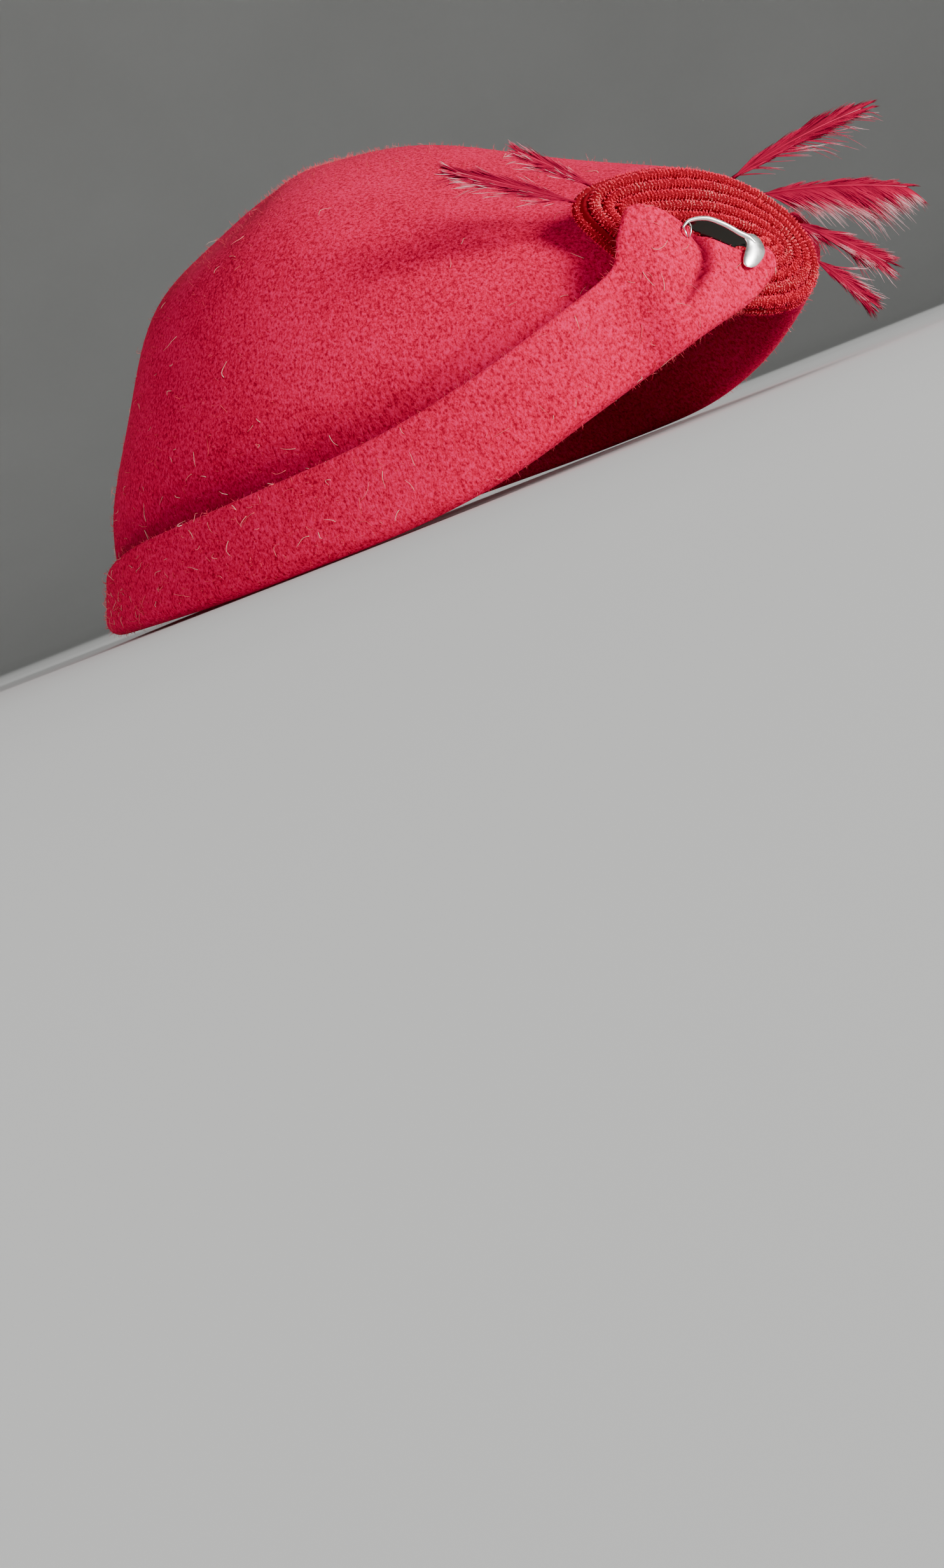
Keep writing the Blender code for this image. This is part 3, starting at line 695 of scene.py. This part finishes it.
bright_finish, shader, place = new_finish("polished_metal", Metallic=1.0)
shader.inputs["Base Color"].default_value = (0.95, 0.94, 0.91, 1.0)
scuff = place.node("ShaderNodeTexNoise", {}, {"Vector": place, "Scale": scuff_scale, "Detail": 3.0})
place.feed(shader.inputs["Roughness"], scuff * 0.25 + 0.22)

# Painted reflection: the plate is the same metal, given a near-black colour for the dark room it
# mirrors.
metal_with_painted_reflection, shader, place = new_finish("metal_painted_dark_reflection", Metallic=1.0)
shader.inputs["Base Color"].default_value = (0.055, 0.052, 0.046, 1.0)
scuff = place.node("ShaderNodeTexNoise", {}, {"Vector": place, "Scale": scuff_scale, "Detail": 3.0})
place.feed(shader.inputs["Roughness"], scuff * 0.15 + 0.08)

rim = (
    # along, up, out of the cockade: lengths in mm
    (-12.9, -5.0, 4.6),
    (-11.7, -3.5, 5.0),
    (-9.9, -2.6, 5.1),
    (-7.9, -2.0, 5.1),
    (-5.7, -1.8, 5.1),
    (-2.5, -2.4, 5.1),
    (-0.4, -3.2, 5.2),
    (1.6, -4.1, 5.3),
    (3.6, -4.9, 5.5),
    (5.2, -6.2, 5.5),
)
foot = (
    (-12.4, -5.4, 3.6),
    (-11.3, -5.0, 2.6),
    (-9.6, -5.0, 1.8),
    (-7.8, -5.2, 1.4),
    (-5.8, -5.6, 1.2),
    (-2.8, -6.6, 1.2),
    (-0.6, -7.4, 1.4),
    (1.4, -8.1, 1.9),
    (3.2, -8.8, 2.8),
    (4.4, -8.6, 4.2),
)
stations = 46
stop_short = 0.0007    # where the plate would meet the felt, it ends this far before it
at = np.linspace(0, len(rim) - 1, stations)
rim_line = at_pad(smooth_through(rim, at))
foot_line = at_pad(smooth_through(foot, at))
for i, (upper, lower) in enumerate(zip(rim_line, foot_line)):
    way = Vector(lower - upper)
    met = felt_tree.ray_cast(Vector(upper), way.normalized(), way.length + stop_short)[3]
    if met is not None:
        foot_line[i] = upper + (lower - upper) / way.length * (met - stop_short)
metal_sheet("clip_plate", rim_line, foot_line, np.full(stations, -0.0002), 0.0004, metal_with_painted_reflection)

rim_half_wide = np.linspace(0.30, 0.75, stations)
rim_outer = at_pad(smooth_through(rim, at) + np.outer(rim_half_wide, (0.15, 0.9, 0.35)))
rim_inner = at_pad(smooth_through(rim, at) - np.outer(rim_half_wide, (0.15, 0.9, -0.15)))
rolled = metal_sheet("clip_rim", rim_outer, rim_inner, np.linspace(0.0004, 0.0006, stations), 0.0005,
                     bright_finish)
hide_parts("metal_clip")

lobe_upper = (
    (3.0, -3.9, 5.4),
    (5.6, -3.9, 5.6),
    (7.5, -5.3, 5.4),
    (8.1, -7.4, 5.3),
    (7.2, -9.5, 5.2),
    (5.6, -11.3, 5.1),
    (3.9, -12.2, 5.1),
)
lobe_lower = (
    (2.8, -5.2, 5.4),
    (3.2, -6.3, 5.5),
    (3.0, -7.5, 5.4),
    (2.5, -8.8, 5.3),
    (2.1, -10.2, 5.2),
    (2.1, -11.5, 5.1),
    (2.8, -12.2, 5.1),
)
stations = 31
lobe_swell = 0.0007 * np.sin(np.linspace(0.25, math.pi - 0.1, stations))
at = np.linspace(0, len(lobe_upper) - 1, stations)
metal_sheet("clip_lobe", at_pad(smooth_through(lobe_upper, at)), at_pad(smooth_through(lobe_lower, at)),
            lobe_swell, 0.0006, bright_finish)

prong_half = 0.00022
prongs = np.stack([
    at_pad(((-12.9, -5.0, 4.9), (-12.9, -5.6, 5.4), (-12.5, -6.5, 5.4), (-11.9, -7.3, 5.0))),
    at_pad(((-11.2, -3.6, 5.1), (-11.1, -4.8, 5.7), (-11.2, -6.2, 5.5), (-11.4, -7.2, 5.0))),
])
wires = strands("clip_prongs", prongs, np.full(prongs.shape[:2], prong_half), 1.0,
                np.broadcast_to(np.array(pad_out), prongs.shape), np.full(2, 0.5), bright_finish)


# Feathers. Six dyed feathers are tucked behind the cockade: four plumes fan out to the wearer's
# left, and two short ones point up and back at the right. Each has a stiff quill and loose, swept
# barbs.
barb_half_widths = np.array((0.10, 0.12, 0.11, 0.09, 0.06, 0.02)) / 1000
quill_steps = 24

feather_finish, shader, place = new_finish("dyed_feather", Roughness=0.7, Specular_IOR_Level=0.08)
chart = Socket(place.tree, place.tree.nodes.new("ShaderNodeUVMap").outputs["UV"])
along_barb = chart.node("ShaderNodeSeparateXYZ", {}, {"Vector": chart}, 0)
tone = chart.node("ShaderNodeSeparateXYZ", {}, {"Vector": chart}, 1)
paleness = along_barb ** 2.0 * (tone * 1.15) + tone * 0.25
feather_colour = place.node("ShaderNodeValToRGB", {"stops": (
    (0.0, (0.16, 0.0003, 0.014)),
    (0.28, (0.38, 0.0010, 0.038)),
    (0.62, (0.66, 0.014, 0.085)),
    (1.0, (0.90, 0.55, 0.57)),
)}, {"Fac": paleness})
place.feed(shader.inputs["Base Color"], feather_colour)


def bent(start, middle, tip, at):
    """Points on a smooth bend through three places."""
    start, middle, tip = (np.array(p) / 1000 for p in (start, middle, tip))
    pull = 2 * middle - (start + tip) / 2
    t = np.asarray(at)[:, None]
    return start * (1 - t) ** 2 + pull * 2 * t * (1 - t) + tip * t ** 2


def feather(number, start, middle, tip, vanes, seed):
    """A quill through three places in mm, and its barbs. Each vane gives its side, count, length,
    root and tip angle, sag, spread and paleness."""
    chance = np.random.default_rng(seed)
    at = np.linspace(0, 1, quill_steps)
    shaft = bent(start, middle, tip, at)[None]
    facing = np.broadcast_to(np.array(pad_out), shaft.shape)
    routes, widths, tones, lying = [], [], [], []
    for side, count, length, root_angle, tip_angle, sag, spread, pale in vanes:
        t = np.sort(chance.uniform(0.02, 1.0, count))
        root = bent(start, middle, tip, t)
        ahead = bent(start, middle, tip, t + 0.01) - root
        ahead /= np.linalg.norm(ahead, axis=1, keepdims=True)
        across = np.cross(np.array(pad_out), ahead)
        across /= np.linalg.norm(across, axis=1, keepdims=True)
        clump = np.floor(t * 17 + chance.uniform(0, 0.6, count))
        together = np.random.default_rng(seed + 50).normal(0, 1, (40, 3))[clump.astype(int)]
        own = chance.normal(0, 1, (count, 3))
        reach = length * (0.35 + 0.65 * np.sin(math.pi * np.clip(t * 0.80 + 0.15, 0, 1)))
        reach = reach * (1 + 0.16 * together[:, 2] + 0.10 * own[:, 2])
        steps = len(barb_half_widths)
        route = np.empty((count, steps, 3))
        route[:, 0] = root
        for step in range(1, steps):
            share = step / (steps - 1)
            turn = math.radians(1) * (root_angle + (tip_angle - root_angle) * share
                                      + spread * (together[:, 0] * 5 + own[:, 0] * 3) * share)
            way = ahead * np.cos(turn)[:, None] + across * (side * np.sin(turn))[:, None]
            lift = spread * (0.08 * together[:, 1] + 0.06 * own[:, 1]) * share
            way = way + np.outer(lift, pad_out) - np.array([0, 0, 1.0]) * (sag * share ** 1.5)
            way /= np.linalg.norm(way, axis=1, keepdims=True)
            route[:, step] = route[:, step - 1] + way * (reach / (steps - 1))[:, None]
        routes.append(route)
        widths.append(np.outer(chance.uniform(0.8, 1.2, count), barb_half_widths))
        tones.append(np.clip(pale + 0.18 * together[:, 1] + 0.15 * own[:, 1], 0, 1))
        lying.append(np.broadcast_to(np.array(pad_out), route.shape))
    vane = strands(f"feather_{number}_barbs", np.concatenate(routes), np.concatenate(widths), 0.45,
                   np.concatenate(lying), np.concatenate(tones), feather_finish)
    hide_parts(f"feather_{number}")
    quill = strands(f"feather_{number}_quill", shaft,
                    np.linspace(0.00055, 0.00012, quill_steps)[None], 0.9,
                    facing, np.full(1, 0.55), feather_finish)


# side, count, length, root angle, tip angle, sag, spread, paleness
feather(1, (-5.9, -94.7, 48.7), (15.2, -103.4, 52.7), (36.1, -113.1, 54.6), (
    (1, 1000, 0.0120, 13, 2, 0.00, 0.6, 0.00),
    (-1, 900, 0.0110, 13, 4, 0.03, 0.7, 0.04),
    (-1, 50, 0.0140, 24, 22, 0.10, 2.0, 0.70),
), 21)
feather(2, (-0.1, -97.6, 42.9), (18.6, -107.0, 39.2), (36.5, -117.1, 33.1), (
    (1, 500, 0.0080, 16, 4, 0.00, 0.8, 0.12),
    (-1, 800, 0.0130, 28, 34, 0.35, 1.3, 0.50),
    (-1, 90, 0.0150, 34, 46, 0.50, 2.0, 0.95),
), 22)
feather(3, (5.4, -100.1, 34.2), (14.2, -105.8, 26.6), (22.2, -111.4, 17.9), (
    (1, 420, 0.0090, 20, 8, 0.00, 0.9, 0.15),
    (-1, 460, 0.0095, 22, 14, 0.15, 1.1, 0.30),
    (-1, 50, 0.0110, 30, 24, 0.30, 2.2, 0.90),
), 23)
feather(4, (6.6, -101.3, 24.5), (10.5, -104.6, 17.8), (13.5, -107.6, 10.6), (
    (1, 300, 0.0080, 20, 10, 0.00, 1.0, 0.20),
    (-1, 300, 0.0080, 22, 12, 0.05, 1.2, 0.30),
    (1, 40, 0.0100, 26, 20, 0.00, 2.2, 0.85),
), 24)
feather(5, (-41.7, -73.0, 55.4), (-53.2, -66.6, 62.8), (-65.2, -60.5, 69.9), (
    (1, 260, 0.0100, 12, 5, 0.00, 1.0, 0.20),
    (-1, 300, 0.0100, 12, 5, 0.00, 0.9, 0.20),
    (1, 60, 0.0130, 22, 16, 0.00, 2.2, 0.85),
), 25)
feather(6, (-36.9, -75.7, 57.7), (-43.0, -71.8, 64.1), (-50.0, -68.3, 70.0), (
    (1, 130, 0.0080, 14, 6, 0.00, 1.2, 0.30),
    (-1, 130, 0.0080, 14, 6, 0.00, 1.2, 0.30),
    (1, 30, 0.0100, 24, 16, 0.00, 2.2, 0.90),
), 26)
